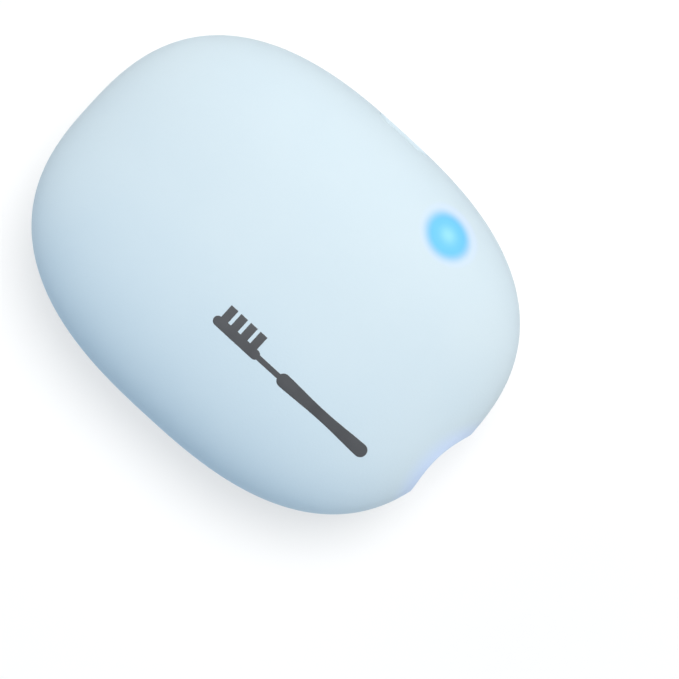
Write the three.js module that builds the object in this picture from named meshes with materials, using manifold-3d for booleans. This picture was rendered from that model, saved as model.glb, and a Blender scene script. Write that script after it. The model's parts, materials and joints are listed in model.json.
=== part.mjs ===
// Pocket toothbrush sanitizer: a pebble-shaped clamshell that closes round a brush head.
// The back cover carries the hinge pin and a reflector tray. The front cover swings up from the mouth
// and carries the lamps, boards, cell and charging socket.
// Millimetres. +Z is up, the mouth faces -Y, the hinge is at +Y, and the case lies on its back cover.

import * as THREE from "three";
import { mergeVertices } from "three/addons/utils/BufferGeometryUtils.js";
import Module from "manifold-3d";

const wasm = await Module();
wasm.setup();

// ---- Driving dimensions -------------------------------------------------------------------------

// The outer pebble: superellipse plan and superellipse side profile about the parting plane.
const HALF_WIDTH = 27.25;
const HALF_LENGTH = 36;
const HALF_HEIGHT = 18;
const PLAN_EXPONENT = 2.62;
const SIDE_EXPONENT = 2.2;
const WALL = 1.8;
const REST_FLAT = 0.8; // how much the back is cut flat, to rest on
const BACK_FLOOR = 15.4; // inside depth of the back cover below the parting plane
const CLOSING_GAP = 0.3; // between the two covers' rims

const PARTING_HEIGHT = HALF_HEIGHT - REST_FLAT; // the parting plane above the table

// The mouth, where the brush neck leaves.
const MOUTH_X = -3.8;
const MOUTH_RADIUS = 5.7;
const CHANNEL_RADIUS = 5.9; // inside the reflectors
const CHANNEL_WALL = 1;

// The hinge: its axis runs along X, below the parting plane and just inside the tail.
const HINGE_Y = HALF_LENGTH - 3.15;
const HINGE_Z = -3;
const BARREL_RADIUS = 2.85;
const PIN_RADIUS = 0.75;
const PIN_BORE = 0.83; // through the tongue, which turns on the pin
const LUG_BORE = 0.78; // through the lugs, which hold it
const TONGUE_HALF_WIDTH = 8.8;
const NOTCH_HALF_WIDTH = 9.1;
const NOTCH_FLOOR = HINGE_Z - BARREL_RADIUS - 0.3;
const LUG_WIDTH = 3;
const PIN_REACH = NOTCH_HALF_WIDTH + LUG_WIDTH - 0.6; // the bore goes on, and out, on the right
const LUG_RADIUS = 2.5;
const HINGE_ROOM_HALF_WIDTH = NOTCH_HALF_WIDTH + LUG_WIDTH + 0.4;
const HINGE_ROOM_Y = HINGE_Y - BARREL_RADIUS - 0.6;
const RELIEF_NEAR = 3.85; // the front rim is cut back this far from the axis beside the tongue,
const RELIEF_FAR = 3.2; // tapering to this further out, to pass over the back rim as it opens
const RELIEF_END = 12.8;

// The reflectors: a flange just off the parting plane, round a polished well.
const FLANGE_NEAR = 0.35;
const FLANGE_FAR = 1.35;
const LINER_GAP = 0.3;
const WELL_HALF_WIDTH = 15;
const WELL_HALF_LENGTH = 26;
const WELL_Y = -2;
const WELL_EXPONENT = 3;
const WELL_WALL = 1;
const BACK_WELL_DEPTH = 10.5;
const FRONT_WELL_DEPTH = 9;
const CEILING_NEAR = 7.2; // the front well is cut off flat here, for the lamp window
const CEILING_FAR = 8.8;

// The lip on the back cover's rim and the rebate that it closes into.
const LIP_INSET = 1.1;
const LIP_HEIGHT = 1.05;
const REBATE_INSET = 0.9;
const REBATE_HEIGHT = 1.25;
const LIP_END_Y = 24; // both stop short of the tail, where the rims swing past each other

// Reflector screws, the same four places in each half.
const SCREW_PLACES = [
  [-20, 13.5],
  [20, 13.5],
  [-18, -18],
  [16.6, -23],
];
const CUP_RADIUS = 3;
const CUP_BORE = 2.2;
const CUP_FLOOR = 2.2;
const CUP_BOTTOM = 3.2;
const POST_RADIUS = 2.6;
const POST_START = 3.25;
const PILOT_RADIUS = 1.05;
const PILOT_DEPTH = 9.6;
const SCREW_HOLE = 1.15;

// Closing magnets beside the mouth, one pair on each side, and the lid sensor's magnet.
const CATCH_PLACES = { right: [10.2, -29.5], left: [-14.2, -27] };
const CATCH_RADIUS = 2;
const CATCH_THICKNESS = 2;
const SENSOR_PLACE = [20.2, -8];
const SENSOR_MAGNET_RADIUS = 1.5;
const MAGNET_NEAR = 1.4;
const HOLDER_WALL = 0.7;
const HOLDER_CLEARANCE = 0.1;

// The lamp window and its seal, long way along Y.
const LAMP_X = 1.5;
const LAMP_Y = WELL_Y;
const WINDOW_OPENING = [10, 32];
const WINDOW_SIZE = [12.6, 34.6];
const WINDOW_REBATE = [13, 35];
const WINDOW_NEAR = 8.02;
const WINDOW_THICKNESS = 0.75;
const SEAL_NEAR = 8.85;
const SEAL_FAR = 9.85;

// The lamp board above the window, and what it carries.
const LAMP_BOARD = { size: [22, 36], centre: [0, -3], near: 9.9, thickness: 0.8 };
const LAMP_BOARD_FAR = LAMP_BOARD.near + LAMP_BOARD.thickness;
const LAMP_SIZE = 3.5;
const LAMP_HEIGHT = 0.9;
const LAMP_PITCH = 8;
const LAMP_KINDS = ["uvc_lamp_1", "uva_lamp_1", "uvc_lamp_2", "uva_lamp_2"];
const BOARD_SCREW_PLACES = [
  [-8.7, -18.6],
  [8.7, 13],
];
const BOARD_POST_RADIUS = 1.6;
const BOARD_PILOT = 0.75;
const BOARD_PILOT_DEPTH = 2.9;

// The cell on its foam pad.
const CELL_SIZE = [17, 23, 3.4];
const CELL_CENTRE = [0, -0.9];
const CELL_PAD_THICKNESS = 0.3;
const CELL_NEAR = LAMP_BOARD_FAR + CELL_PAD_THICKNESS + 0.1;

// The side board, with the charging socket under it and the indicator on top.
const SIDE_BOARD = { x: [16.2, 22.1], y: [-18, 8.4], near: 4.8, thickness: 0.8 };
const SIDE_BOARD_FAR = SIDE_BOARD.near + SIDE_BOARD.thickness;
const SIDE_BOARD_SCREW_PLACES = [
  [18.4, -11.4],
  [19.9, 6.4],
];
const SOCKET_Y = 0;
const SOCKET_Z = 3.1;
const SOCKET_SIZE = [8.94, 3.26];
const SOCKET_BORE = [8.3, 2.56];
const SOCKET_DEPTH = 7;
const SOCKET_MOUTH_X = 26.2;
const PORT_SIZE = [9.4, 3.7];
const INDICATOR = [19.75, -14.25];
const GUIDE_RADIUS = 1.5;
const GUIDE_POCKET_RADIUS = 1.8;
const GUIDE_POCKET_WALL = 0.8;

// Sides round and from pole to pole, for the outside and for the surfaces behind it.
const FINE = [48, 18];
const COARSE = [40, 14];
const WELL_DETAIL = [32, 14];

// ---- Materials ----------------------------------------------------------------------------------

const plastic = (color, roughness) => new THREE.MeshStandardMaterial({ color, roughness, metalness: 0 });
const metal = (color, roughness) => new THREE.MeshStandardMaterial({ color, roughness, metalness: 1 });
const materials = {
  cover: plastic(0xcfe4f0, 0.55),
  reflector: metal(0xd8dbe0, 0.12),
  window: new THREE.MeshStandardMaterial({
    color: 0xeef4f8,
    roughness: 0.05,
    transparent: true,
    opacity: 0.35,
  }),
  seal: plastic(0xf2f2f2, 0.8),
  board: plastic(0xf4f4f0, 0.5),
  lamp: plastic(0xf0e9c8, 0.35),
  indicator: plastic(0x9fd8ff, 0.3),
  guide: plastic(0xe8f2f8, 0.2),
  chip: plastic(0x1c1c1e, 0.45),
  cell: metal(0xb9bcc2, 0.4),
  foam: plastic(0x2b2b2d, 0.95),
  steel: metal(0xb8bbbf, 0.3),
  magnet: metal(0xc4c6ca, 0.2),
  redLead: plastic(0xb3231c, 0.5),
  blackLead: plastic(0x161616, 0.5),
};

// ---- Solids -------------------------------------------------------------------------------------

// A three.js geometry as a manifold-3d solid.
function solid(geometry) {
  const bare = geometry.clone();
  bare.deleteAttribute("normal");
  bare.deleteAttribute("uv");
  const merged = mergeVertices(bare, 1e-4);
  return new wasm.Manifold(
    new wasm.Mesh({
      numProp: 3,
      vertProperties: new Float32Array(merged.attributes.position.array),
      triVerts: new Uint32Array(merged.index.array),
    }),
  );
}

// A manifold-3d solid as a named three.js mesh.
function mesh(name, made, material) {
  const { vertProperties, triVerts } = made.getMesh();
  const geometry = new THREE.BufferGeometry();
  geometry.setAttribute("position", new THREE.BufferAttribute(vertProperties, 3));
  geometry.setIndex(new THREE.BufferAttribute(triVerts, 1));
  geometry.computeVertexNormals();
  const built = new THREE.Mesh(geometry, material);
  built.name = name;
  return built;
}

// A box from its lowest to its highest corner.
function block(low, high) {
  const size = high.map((value, axis) => value - low[axis]);
  const geometry = new THREE.BoxGeometry(...size);
  geometry.translate(...low.map((value, axis) => value + size[axis] / 2));
  return solid(geometry);
}

// A round bar along Z, X or Y, from one end to the other.
function barZ(x, y, radius, from, to, segments = 20) {
  const geometry = new THREE.CylinderGeometry(radius, radius, Math.abs(to - from), segments);
  geometry.rotateX(Math.PI / 2).translate(x, y, (from + to) / 2);
  return solid(geometry);
}

function barX(y, z, radius, from, to, segments = 24) {
  const geometry = new THREE.CylinderGeometry(radius, radius, to - from, segments);
  geometry.rotateZ(Math.PI / 2).translate((from + to) / 2, y, z);
  return solid(geometry);
}

function barY(x, z, radius, from, to, segments = 28) {
  const geometry = new THREE.CylinderGeometry(radius, radius, to - from, segments);
  geometry.translate(x, (from + to) / 2, z);
  return solid(geometry);
}

// A pebble: a unit sphere whose points are moved onto superellipses in plan and in side view.
function pebble({ halfWidth, halfLength, halfHeight, plan = PLAN_EXPONENT, side = SIDE_EXPONENT, y = 0 },
  [segments, rings] = FINE) {
  const geometry = new THREE.SphereGeometry(1, segments, rings).rotateX(Math.PI / 2);
  const position = geometry.attributes.position;
  const bend = (value, exponent) => Math.sign(value) * Math.abs(value) ** (2 / exponent);
  for (let i = 0; i < position.count; i += 1) {
    const reach = Math.hypot(position.getX(i), position.getY(i));
    const spread = reach > 1e-6 ? bend(reach, side) : 0;
    const across = reach > 1e-6 ? bend(position.getX(i) / reach, plan) : 0;
    const along = reach > 1e-6 ? bend(position.getY(i) / reach, plan) : 0;
    const up = bend(position.getZ(i), side);
    position.setXYZ(i, halfWidth * across * spread, y + halfLength * along * spread, halfHeight * up);
  }
  return solid(geometry);
}

// The outer pebble moved inwards by an even amount.
function insetPebble(inset, detail = COARSE) {
  const size = {
    halfWidth: HALF_WIDTH - inset,
    halfLength: HALF_LENGTH - inset,
    halfHeight: HALF_HEIGHT - inset,
  };
  return pebble(size, detail);
}

// A slot-shaped outline with round ends, long way along its second axis unless it is the wider one.
function slotShape([width, length]) {
  const radius = Math.min(width, length) / 2;
  const shape = new THREE.Shape();
  if (length >= width) {
    const reach = length / 2 - radius;
    shape.absarc(0, reach, radius, 0, Math.PI, false);
    shape.absarc(0, -reach, radius, Math.PI, 2 * Math.PI, false);
  } else {
    const reach = width / 2 - radius;
    shape.absarc(reach, 0, radius, -Math.PI / 2, Math.PI / 2, false);
    shape.absarc(-reach, 0, radius, Math.PI / 2, 1.5 * Math.PI, false);
  }
  shape.closePath();
  return shape;
}

// A slot standing along Z.
function slotZ(size, x, y, from, to) {
  const geometry = new THREE.ExtrudeGeometry(slotShape(size), {
    depth: to - from,
    bevelEnabled: false,
    curveSegments: 6,
  });
  return solid(geometry.translate(x, y, from));
}

// A slot standing along X, its wider way along Y.
function slotX(size, y, z, from, to) {
  const geometry = new THREE.ExtrudeGeometry(slotShape(size), {
    depth: to - from,
    bevelEnabled: false,
    curveSegments: 6,
  });
  geometry.rotateX(Math.PI / 2).rotateZ(Math.PI / 2).translate(from, y, z);
  return solid(geometry);
}

const far = 60;
const slab = (from, to) => block([-far, -far, from], [far, far, to]);
const joined = (pieces) => pieces.reduce((all, piece) => all.add(piece));
const mirrored = (made) => made.mirror([0, 0, 1]);

// ---- Shared shapes ------------------------------------------------------------------------------

const outer = insetPebble(0, FINE);
const inner = insetPebble(WALL);
const mouthHole = barY(MOUTH_X, 0, MOUTH_RADIUS, -HALF_LENGTH - 4, WELL_Y - WELL_HALF_LENGTH + 4);
const hingeRoom = block(
  [-HINGE_ROOM_HALF_WIDTH, HINGE_ROOM_Y, -far],
  [HINGE_ROOM_HALF_WIDTH, far, far],
);
const posts = joined(
  SCREW_PLACES.map(([x, y]) => barZ(x, y, POST_RADIUS, POST_START, HALF_HEIGHT, 12)),
);
const pilots = joined(
  SCREW_PLACES.map(([x, y]) => barZ(x, y, PILOT_RADIUS, POST_START - 1, PILOT_DEPTH, 8)),
);

// The hinge tongue's section, a round barrel with an arm up to the front cover's tail wall.
function tongueBody() {
  const arm = new THREE.Shape([
    new THREE.Vector2(BARREL_RADIUS, 0),
    new THREE.Vector2(4, 3),
    new THREE.Vector2(4, 5.6),
    new THREE.Vector2(1.2, 5.6),
    new THREE.Vector2(-1.4, 3.2),
    new THREE.Vector2(-BARREL_RADIUS, 0),
  ]);
  const geometry = new THREE.ExtrudeGeometry(arm, {
    depth: 2 * TONGUE_HALF_WIDTH,
    bevelEnabled: false,
  });
  geometry.rotateX(Math.PI / 2).rotateZ(Math.PI / 2).translate(-TONGUE_HALF_WIDTH, HINGE_Y, HINGE_Z);
  return solid(geometry).add(barX(HINGE_Y, HINGE_Z, BARREL_RADIUS, -TONGUE_HALF_WIDTH, TONGUE_HALF_WIDTH));
}

// Two cones along the hinge axis, one each side of the tongue.
function rimRelief() {
  const length = RELIEF_END - TONGUE_HALF_WIDTH;
  const middle = (RELIEF_END + TONGUE_HALF_WIDTH) / 2;
  return joined(
    [-1, 1].map((hand) => {
      const radii = hand > 0 ? [RELIEF_NEAR, RELIEF_FAR] : [RELIEF_FAR, RELIEF_NEAR];
      const geometry = new THREE.CylinderGeometry(...radii, length, 24);
      geometry.rotateZ(Math.PI / 2).translate(hand * middle, HINGE_Y, HINGE_Z);
      return solid(geometry);
    }),
  );
}

// ---- Covers -------------------------------------------------------------------------------------

function frontCover() {
  const tongue = tongueBody();
  const side = slab(CLOSING_GAP / 2, far).add(tongue);
  const shell = outer.intersect(side).subtract(inner.subtract(joined([tongue, posts])));
  const rebate = insetPebble(REBATE_INSET)
    .intersect(block([-far, -far, -far], [far, LIP_END_Y + 0.3, REBATE_HEIGHT]));
  const pocket = barZ(...INDICATOR, GUIDE_POCKET_RADIUS, SIDE_BOARD_FAR, HALF_HEIGHT, 16)
    .intersect(insetPebble(GUIDE_POCKET_WALL));
  const port = slotX(PORT_SIZE, SOCKET_Y, SOCKET_Z, SOCKET_MOUTH_X - 3, HALF_WIDTH + 2);
  const pinBore = barX(HINGE_Y, HINGE_Z, PIN_BORE, -NOTCH_HALF_WIDTH, NOTCH_HALF_WIDTH, 12);
  const cuts = joined([rebate, rimRelief(), pocket, port, pinBore, pilots, mouthHole]);
  return mesh("front_cover", shell.subtract(cuts), materials.cover);
}

function backCover() {
  const notch = block([-NOTCH_HALF_WIDTH, HINGE_Y - 12, NOTCH_FLOOR], [NOTCH_HALF_WIDTH, far, far]);
  const side = slab(-PARTING_HEIGHT, -CLOSING_GAP / 2).subtract(notch);
  const lugs = joined(
    [-1, 1].map((hand) => {
      const ends = [hand * NOTCH_HALF_WIDTH, hand * (NOTCH_HALF_WIDTH + LUG_WIDTH)].sort((a, b) => a - b);
      const round = barX(HINGE_Y, HINGE_Z, LUG_RADIUS, ...ends);
      const root = block([ends[0], HINGE_Y, HINGE_Z - LUG_RADIUS], [ends[1], far, HINGE_Z + LUG_RADIUS]);
      return round.add(root);
    }),
  );
  const hollow = inner.intersect(slab(-BACK_FLOOR, far)).subtract(joined([lugs, mirrored(posts)]));
  const lipBand = insetPebble(LIP_INSET)
    .intersect(block([-far, -far, -1], [far, LIP_END_Y, LIP_HEIGHT]))
    .subtract(inner)
    .subtract(barY(MOUTH_X, 0, MOUTH_RADIUS + 1.4, -far, 0));
  const shell = outer.intersect(side).subtract(hollow).add(lipBand);
  const pinBore = barX(HINGE_Y, HINGE_Z, LUG_BORE, -PIN_REACH - 0.1, HALF_WIDTH, 12);
  const cuts = joined([pinBore, mirrored(pilots), mouthHole]);
  return mesh("back_cover", shell.subtract(cuts), materials.cover);
}

// ---- Reflectors ---------------------------------------------------------------------------------

const wellSize = (grow, depth) => ({
  halfWidth: WELL_HALF_WIDTH + grow,
  halfLength: WELL_HALF_LENGTH + grow,
  halfHeight: depth + grow,
  plan: WELL_EXPONENT,
  side: WELL_EXPONENT,
  y: WELL_Y,
});

// A reflector drawn above the parting plane: flange, well, mouth channel, screw cups, magnet holders.
function reflector(depth, wellEnd) {
  const fence = insetPebble(WALL + LINER_GAP);
  const flange = fence.intersect(slab(FLANGE_NEAR, FLANGE_FAR));
  const bowlSlab = slab(FLANGE_NEAR, wellEnd + WELL_WALL + 0.6);
  const bowl = pebble(wellSize(WELL_WALL, depth), WELL_DETAIL).intersect(bowlSlab);
  const channel = barY(MOUTH_X, 0, CHANNEL_RADIUS + CHANNEL_WALL, -far, WELL_Y - WELL_HALF_LENGTH + 3)
    .intersect(fence)
    .intersect(slab(FLANGE_NEAR, far));
  const cups = joined(SCREW_PLACES.map(([x, y]) => barZ(x, y, CUP_RADIUS, FLANGE_NEAR, CUP_BOTTOM, 14)));
  const bores = joined(
    SCREW_PLACES.map(([x, y]) =>
      barZ(x, y, CUP_BORE, -1, CUP_FLOOR, 14).add(barZ(x, y, SCREW_HOLE, -1, CUP_BOTTOM + 1, 8)),
    ),
  );
  const catchSpots = Object.values(CATCH_PLACES);
  const seatRadius = CATCH_RADIUS + HOLDER_CLEARANCE;
  const holderFar = MAGNET_NEAR + CATCH_THICKNESS;
  const holders = joined(
    catchSpots.map(([x, y]) => barZ(x, y, seatRadius + HOLDER_WALL, FLANGE_NEAR, holderFar, 20)),
  ).intersect(fence);
  const seats = joined(
    catchSpots.map(([x, y]) => barZ(x, y, seatRadius, FLANGE_FAR, holderFar + 1, 20)),
  );
  const well = pebble(wellSize(0, depth), WELL_DETAIL).intersect(slab(-1, wellEnd));
  const throat = barY(MOUTH_X, 0, CHANNEL_RADIUS, -far, WELL_Y - WELL_HALF_LENGTH + 4);
  const tray = joined([flange, bowl, channel, cups, holders]);
  return tray.subtract(joined([well, throat, bores, seats, hingeRoom]));
}

function backReflector() {
  const holder = barZ(...SENSOR_PLACE, SENSOR_MAGNET_RADIUS + HOLDER_CLEARANCE + HOLDER_WALL,
    FLANGE_NEAR, MAGNET_NEAR + CATCH_THICKNESS, 16);
  const seat = barZ(...SENSOR_PLACE, SENSOR_MAGNET_RADIUS + HOLDER_CLEARANCE,
    FLANGE_FAR, MAGNET_NEAR + CATCH_THICKNESS + 1, 16);
  const made = reflector(BACK_WELL_DEPTH, BACK_WELL_DEPTH).add(holder).subtract(seat);
  return mesh("back_reflector", mirrored(made), materials.reflector);
}

// Posts that a board rests on, and the pilot holes for its screws.
function boardPosts(places, root, near) {
  return joined(places.map(([x, y]) => barZ(x, y, BOARD_POST_RADIUS, root, near - 0.05, 12)));
}

function boardPilots(places, near) {
  return joined(places.map(([x, y]) => barZ(x, y, BOARD_PILOT, near - BOARD_PILOT_DEPTH, near + 1, 8)));
}

function frontReflector() {
  const lampPosts = boardPosts(BOARD_SCREW_PLACES, CEILING_NEAR, LAMP_BOARD.near);
  const sidePosts = boardPosts(SIDE_BOARD_SCREW_PLACES, FLANGE_NEAR, SIDE_BOARD.near);
  const pilots = boardPilots(BOARD_SCREW_PLACES, LAMP_BOARD.near)
    .add(boardPilots(SIDE_BOARD_SCREW_PLACES, SIDE_BOARD.near));
  const opening = slotZ(WINDOW_OPENING, LAMP_X, LAMP_Y, CEILING_NEAR - 1, far);
  const rebate = slotZ(WINDOW_REBATE, LAMP_X, LAMP_Y, WINDOW_NEAR - 0.02, far);
  const room = pebble(wellSize(0, FRONT_WELL_DEPTH), WELL_DETAIL).intersect(slab(-1, CEILING_NEAR));
  const made = reflector(FRONT_WELL_DEPTH, CEILING_NEAR)
    .intersect(slab(0, CEILING_FAR))
    .add(lampPosts.subtract(room))
    .add(sidePosts)
    .subtract(joined([pilots, opening, rebate]));
  return mesh("front_reflector", made, materials.reflector);
}

// ---- Hinge pin, screws and magnets --------------------------------------------------------------

function hingePin() {
  const made = barX(HINGE_Y, HINGE_Z, PIN_RADIUS, -PIN_REACH, PIN_REACH, 12);
  return mesh("hinge_pin", made, materials.steel);
}

// A pan-head screw, head at the bottom and point upwards, as one turned profile.
function screw({ headRadius, headHeight, shankRadius, length }, segments) {
  const profile = [
    [0, 0],
    [headRadius * 0.7, 0],
    [headRadius, headHeight * 0.4],
    [headRadius, headHeight],
    [shankRadius, headHeight],
    [shankRadius, headHeight + length - shankRadius],
    [0, headHeight + length],
  ].map(([radius, height]) => new THREE.Vector2(radius, height));
  return solid(new THREE.LatheGeometry(profile, segments).rotateX(Math.PI / 2));
}

const REFLECTOR_SCREW = { headRadius: 1.9, headHeight: 1.1, shankRadius: 0.92, length: 6.4 };
const BOARD_SCREW = { headRadius: 1.4, headHeight: 0.9, shankRadius: 0.64, length: 3.4 };

function reflectorScrews(half) {
  const head = CUP_FLOOR - REFLECTOR_SCREW.headHeight - 0.05;
  return SCREW_PLACES.map(([x, y], index) => {
    const made = screw(REFLECTOR_SCREW, 12).translate([x, y, head]);
    const placed = half === "back" ? mirrored(made) : made;
    return mesh(`${half}_reflector_screw_${index + 1}`, placed, materials.steel);
  });
}

function boardScrews(board, places, boardFar) {
  return places.map(([x, y], index) => {
    const top = boardFar + BOARD_SCREW.headHeight + 0.02;
    const made = mirrored(screw(BOARD_SCREW, 10)).translate([x, y, top]);
    return mesh(`${board}_screw_${index + 1}`, made, materials.steel);
  });
}

function catchMagnets(half) {
  return Object.entries(CATCH_PLACES).map(([hand, [x, y]]) => {
    const made = barZ(x, y, CATCH_RADIUS, MAGNET_NEAR, MAGNET_NEAR + CATCH_THICKNESS, 20);
    return mesh(`${half}_catch_magnet_${hand}`, half === "back" ? mirrored(made) : made, materials.magnet);
  });
}

function sensorMagnet() {
  const made = barZ(...SENSOR_PLACE, SENSOR_MAGNET_RADIUS, MAGNET_NEAR, MAGNET_NEAR + CATCH_THICKNESS, 16);
  return mesh("lid_sensor_magnet", mirrored(made), materials.magnet);
}

// ---- Lamp stack ---------------------------------------------------------------------------------

function lampWindow() {
  const made = slotZ(WINDOW_SIZE, LAMP_X, LAMP_Y, WINDOW_NEAR, WINDOW_NEAR + WINDOW_THICKNESS);
  return mesh("lamp_window", made, materials.window);
}

function windowSeal() {
  const ring = slotZ(WINDOW_SIZE, LAMP_X, LAMP_Y, SEAL_NEAR, SEAL_FAR);
  const hole = slotZ(WINDOW_OPENING, LAMP_X, LAMP_Y, SEAL_NEAR - 1, SEAL_FAR + 1);
  return mesh("window_seal", ring.subtract(hole), materials.seal);
}

function screwHoles(places) {
  return joined(places.map(([x, y]) => barZ(x, y, BOARD_PILOT + 0.1, 0, far, 8)));
}

function lampBoard() {
  const [width, length] = LAMP_BOARD.size;
  const [x, y] = LAMP_BOARD.centre;
  const plate = block(
    [x - width / 2, y - length / 2, LAMP_BOARD.near],
    [x + width / 2, y + length / 2, LAMP_BOARD_FAR],
  );
  return mesh("lamp_board", plate.subtract(screwHoles(BOARD_SCREW_PLACES)), materials.board);
}

// A lamp: a square ceramic base with a low dome facing the brush.
function lamps() {
  return LAMP_KINDS.map((name, index) => {
    const y = LAMP_Y + (index - (LAMP_KINDS.length - 1) / 2) * LAMP_PITCH;
    const top = LAMP_BOARD.near - 0.02;
    const half = LAMP_SIZE / 2;
    const base = block([LAMP_X - half, y - half, top - 0.45], [LAMP_X + half, y + half, top]);
    const dome = new THREE.SphereGeometry(1, 12, 8).scale(half * 0.8, half * 0.8, LAMP_HEIGHT - 0.2);
    dome.translate(LAMP_X, y, top - 0.2);
    return mesh(name, base.add(solid(dome).intersect(slab(-far, top - 0.1))), materials.lamp);
  });
}

// A plain component standing on a board.
function chip(name, [x, y], [width, length, height], from, material = materials.chip) {
  const made = block([x - width / 2, y - length / 2, from], [x + width / 2, y + length / 2, from + height]);
  return mesh(name, made, material);
}

function boostCoil() {
  const from = LAMP_BOARD_FAR + 0.02;
  const plate = block([2.8, -19.6, from], [7.2, -15.2, from + 0.4]);
  const made = plate.add(barZ(5, -17.4, 2.1, from, from + 2.2, 18));
  return mesh("boost_coil", made, materials.chip);
}

function cell() {
  const [width, length, height] = CELL_SIZE;
  const [x, y] = CELL_CENTRE;
  const shape = new THREE.Shape();
  const corner = 1.2;
  shape.absarc(width / 2 - corner, height / 2 - corner, corner, 0, Math.PI / 2, false);
  shape.absarc(-width / 2 + corner, height / 2 - corner, corner, Math.PI / 2, Math.PI, false);
  shape.absarc(-width / 2 + corner, -height / 2 + corner, corner, Math.PI, 1.5 * Math.PI, false);
  shape.absarc(width / 2 - corner, -height / 2 + corner, corner, 1.5 * Math.PI, 2 * Math.PI, false);
  const geometry = new THREE.ExtrudeGeometry(shape, { depth: length, bevelEnabled: false, curveSegments: 4 });
  geometry.rotateX(Math.PI / 2).translate(x, y + length / 2, CELL_NEAR + height / 2);
  return mesh("cell", solid(geometry), materials.cell);
}

// An insulated lead: a round section swept along a smooth path of a few points.
function lead(name, points, radius, material) {
  const path = new THREE.CatmullRomCurve3(points.map((point) => new THREE.Vector3(...point)));
  const section = new THREE.Shape().absarc(0, 0, radius, 0, 2 * Math.PI, false);
  const geometry = new THREE.ExtrudeGeometry(section, {
    steps: 7,
    curveSegments: 4,
    bevelEnabled: false,
    extrudePath: path,
  });
  return mesh(name, solid(geometry), material);
}

function cellLeads() {
  const end = CELL_CENTRE[1] - CELL_SIZE[1] / 2;
  const from = CELL_NEAR + CELL_SIZE[2] / 2;
  const board = LAMP_BOARD_FAR + 0.5;
  const route = (x, drift) => [
    [x, end - 0.4, from],
    [x + drift * 0.4, end - 1.4, from - 0.2],
    [x + drift, end - 2.4, board + 0.2],
    [x + drift, end - 3.6, board],
  ];
  return [
    lead("cell_lead_red", route(-6.4, -0.6), 0.4, materials.redLead),
    lead("cell_lead_black", route(-4.6, 0.2), 0.4, materials.blackLead),
  ];
}

// ---- Side board ---------------------------------------------------------------------------------

function sideBoard() {
  const { x, y, near } = SIDE_BOARD;
  const plate = block([x[0], y[0], near], [x[1], y[1], SIDE_BOARD_FAR]);
  return mesh("side_board", plate.subtract(screwHoles(SIDE_BOARD_SCREW_PLACES)), materials.board);
}

// The charging socket: an open slot-shaped shell, closed at the back, with a contact blade inside.
function usbSocket() {
  const back = SOCKET_MOUTH_X - SOCKET_DEPTH;
  const shell = slotX(SOCKET_SIZE, SOCKET_Y, SOCKET_Z, back, SOCKET_MOUTH_X);
  const bore = slotX(SOCKET_BORE, SOCKET_Y, SOCKET_Z, back + 0.8, SOCKET_MOUTH_X + 1);
  const blade = block(
    [back + 0.4, SOCKET_Y - 3.3, SOCKET_Z - 0.35],
    [SOCKET_MOUTH_X - 0.6, SOCKET_Y + 3.3, SOCKET_Z + 0.35],
  );
  return mesh("usb_socket", shell.subtract(bore).add(blade), materials.steel);
}

function indicatorGuide() {
  const made = barZ(...INDICATOR, GUIDE_RADIUS, SIDE_BOARD_FAR + 0.75, HALF_HEIGHT, 16)
    .intersect(insetPebble(GUIDE_POCKET_WALL + 0.3));
  return mesh("indicator_light_guide", made, materials.guide);
}

// The flat cable from the side board up to the lamp board.
function boardCable() {
  const low = SIDE_BOARD_FAR + 0.05;
  const high = LAMP_BOARD_FAR + 0.05;
  const thickness = 0.5;
  const outline = new THREE.Shape([
    new THREE.Vector2(18.6, low),
    new THREE.Vector2(18.6, low + thickness),
    new THREE.Vector2(17.3, low + thickness),
    new THREE.Vector2(13, high + thickness),
    new THREE.Vector2(9, high + thickness),
    new THREE.Vector2(9, high),
    new THREE.Vector2(12.75, high),
    new THREE.Vector2(17.05, low),
  ]);
  const geometry = new THREE.ExtrudeGeometry(outline, { depth: 4, bevelEnabled: false });
  geometry.rotateX(Math.PI / 2).translate(0, 3.5, 0);
  return mesh("board_cable", solid(geometry), materials.board);
}

// ---- Assembly -----------------------------------------------------------------------------------

const back = new THREE.Group();
back.add(
  backCover(),
  backReflector(),
  hingePin(),
  ...catchMagnets("back"),
  sensorMagnet(),
  ...reflectorScrews("back"),
);

const front = new THREE.Group();
front.add(
  frontCover(),
  frontReflector(),
  lampWindow(),
  windowSeal(),
  lampBoard(),
  ...lamps(),
  ...boardScrews("lamp_board", BOARD_SCREW_PLACES, LAMP_BOARD_FAR),
  chip("control_chip", [-3.2, -18.2], [4, 4, 1.2], LAMP_BOARD_FAR + 0.02),
  boostCoil(),
  chip("cell_pad", CELL_CENTRE, [15, 21, CELL_PAD_THICKNESS], LAMP_BOARD_FAR + 0.05, materials.foam),
  cell(),
  ...cellLeads(),
  sideBoard(),
  ...boardScrews("side_board", SIDE_BOARD_SCREW_PLACES, SIDE_BOARD_FAR),
  usbSocket(),
  chip("charger_chip", [18.6, -5.5], [3, 3.4, 1], SIDE_BOARD_FAR + 0.02),
  chip("lid_sensor", [SENSOR_PLACE[0], SENSOR_PLACE[1]], [2.9, 1.8, 1], SIDE_BOARD.near - 1.02),
  chip("indicator_led", INDICATOR, [1.6, 0.9, 0.6], SIDE_BOARD_FAR + 0.02, materials.indicator),
  indicatorGuide(),
  boardCable(),
  ...catchMagnets("front"),
  ...reflectorScrews("front"),
);

const halves = new THREE.Group();
halves.position.z = PARTING_HEIGHT;
halves.add(back, front);

const sanitizer = new THREE.Group();
sanitizer.add(halves);

export default sanitizer;
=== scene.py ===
"""Pocket toothbrush sanitizer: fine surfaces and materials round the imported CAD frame.

Shapes are drawn in millimetres about the parting plane between the two covers. Both halves are drawn
with +z away from that plane, and place() mirrors the back one and moves everything to the row frame.
"""

import json
import math

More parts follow.
